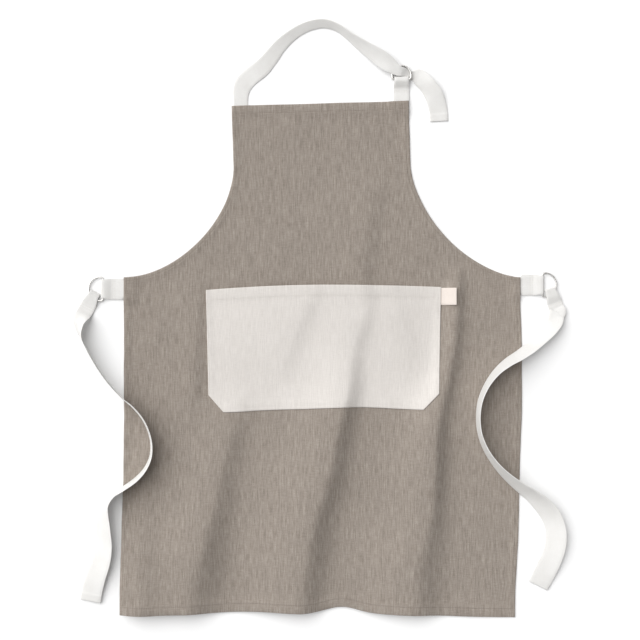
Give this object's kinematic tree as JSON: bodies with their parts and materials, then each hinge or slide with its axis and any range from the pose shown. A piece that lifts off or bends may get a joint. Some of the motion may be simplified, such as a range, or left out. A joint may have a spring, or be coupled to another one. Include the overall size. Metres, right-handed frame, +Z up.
{
  "type": "bib apron",
  "caption": "Kitchen bib apron laid flat, with a patch pocket, a D-ring neck strap and two waist ties on D-rings.",
  "frame": {"origin": "on the surface that the apron rests on, under the middle of the panel: on the centre line, 436 mm below the top edge of the bib", "axes": "+Y along the apron towards the neck, +X to the right as seen from above, +Z up out of the cloth, away from the surface"},
  "size_m": [0.8438, 1.0078, 0.0393],
  "materials": {
    "panel_cloth": "matt linen-look weave",
    "pocket_cloth": "matt off-white weave",
    "cotton_tape": "matt cotton tape",
    "label_tape": "matt folded tape, plain",
    "panel_thread": "sewing thread",
    "pale_thread": "sewing thread",
    "ring_wire": "nickel-plated wire"
  },
  "bodies": {
    "apron": {"apron_panel": "panel_cloth", "pocket": "pocket_cloth", "pocket_label": "label_tape", "skirt_hem_stitching": "panel_thread", "bib_hem_stitching": "panel_thread", "right_edge_stitching": "panel_thread", "left_edge_stitching": "panel_thread", "pocket_hem_stitching": "pale_thread", "pocket_seam_stitching": "pale_thread", "left_waist_tab": "cotton_tape", "right_waist_tab": "cotton_tape"},
    "neck_loop": {"neck_strap": "cotton_tape", "neck_ring_tab": "cotton_tape", "neck_ring_back": "ring_wire", "neck_ring_front": "ring_wire"},
    "strap_tail": {"neck_strap_tail": "cotton_tape"},
    "left_ring": {"left_waist_ring": "ring_wire", "left_tie_loop": "cotton_tape"},
    "left_tie": {"left_waist_tie": "cotton_tape"},
    "right_ring": {"right_waist_ring": "ring_wire", "right_tie_loop": "cotton_tape"},
    "right_tie": {"right_waist_tie": "cotton_tape"}
  },
  "joints": [
    {"name": "neck_loop_lift", "type": "hinge", "parent": "apron", "child": "neck_loop", "pos_m": [0, 0.43615, 0.0028], "axis": [1, 0, 0], "range_deg": [0, 110]},
    {"name": "strap_tail_hang", "type": "hinge", "parent": "neck_loop", "child": "strap_tail", "pos_m": [0.15715, 0.48043, 0.0013], "axis": [1, 0, 0], "range_deg": [-110, 0]},
    {"name": "left_ring_pivot", "type": "hinge", "parent": "apron", "child": "left_ring", "pos_m": [-0.373, 0.118, 0.0031], "axis": [0, 1, 0], "range_deg": [0, 25]},
    {"name": "left_tie_lift", "type": "hinge", "parent": "left_ring", "child": "left_tie", "pos_m": [-0.40171, 0.08241, 0.0028], "axis": [-0.8827, 0.4699, 0], "range_deg": [0, 90]},
    {"name": "right_ring_pivot", "type": "hinge", "parent": "apron", "child": "right_ring", "pos_m": [0.373, 0.125, 0.0031], "axis": [0, -1, 0], "range_deg": [0, 25]},
    {"name": "right_tie_lift", "type": "hinge", "parent": "right_ring", "child": "right_tie", "pos_m": [0.39753, 0.08638, 0.0028], "axis": [-0.9404, -0.3401, 0], "range_deg": [0, 90]}
  ],
  "couplings": [
    {"joint": "strap_tail_hang", "follows": "neck_loop_lift", "ratio": -1},
    {"joint": "left_ring_pivot", "follows": "left_tie_lift", "ratio": 0.25},
    {"joint": "right_ring_pivot", "follows": "right_tie_lift", "ratio": 0.25}
  ]
}
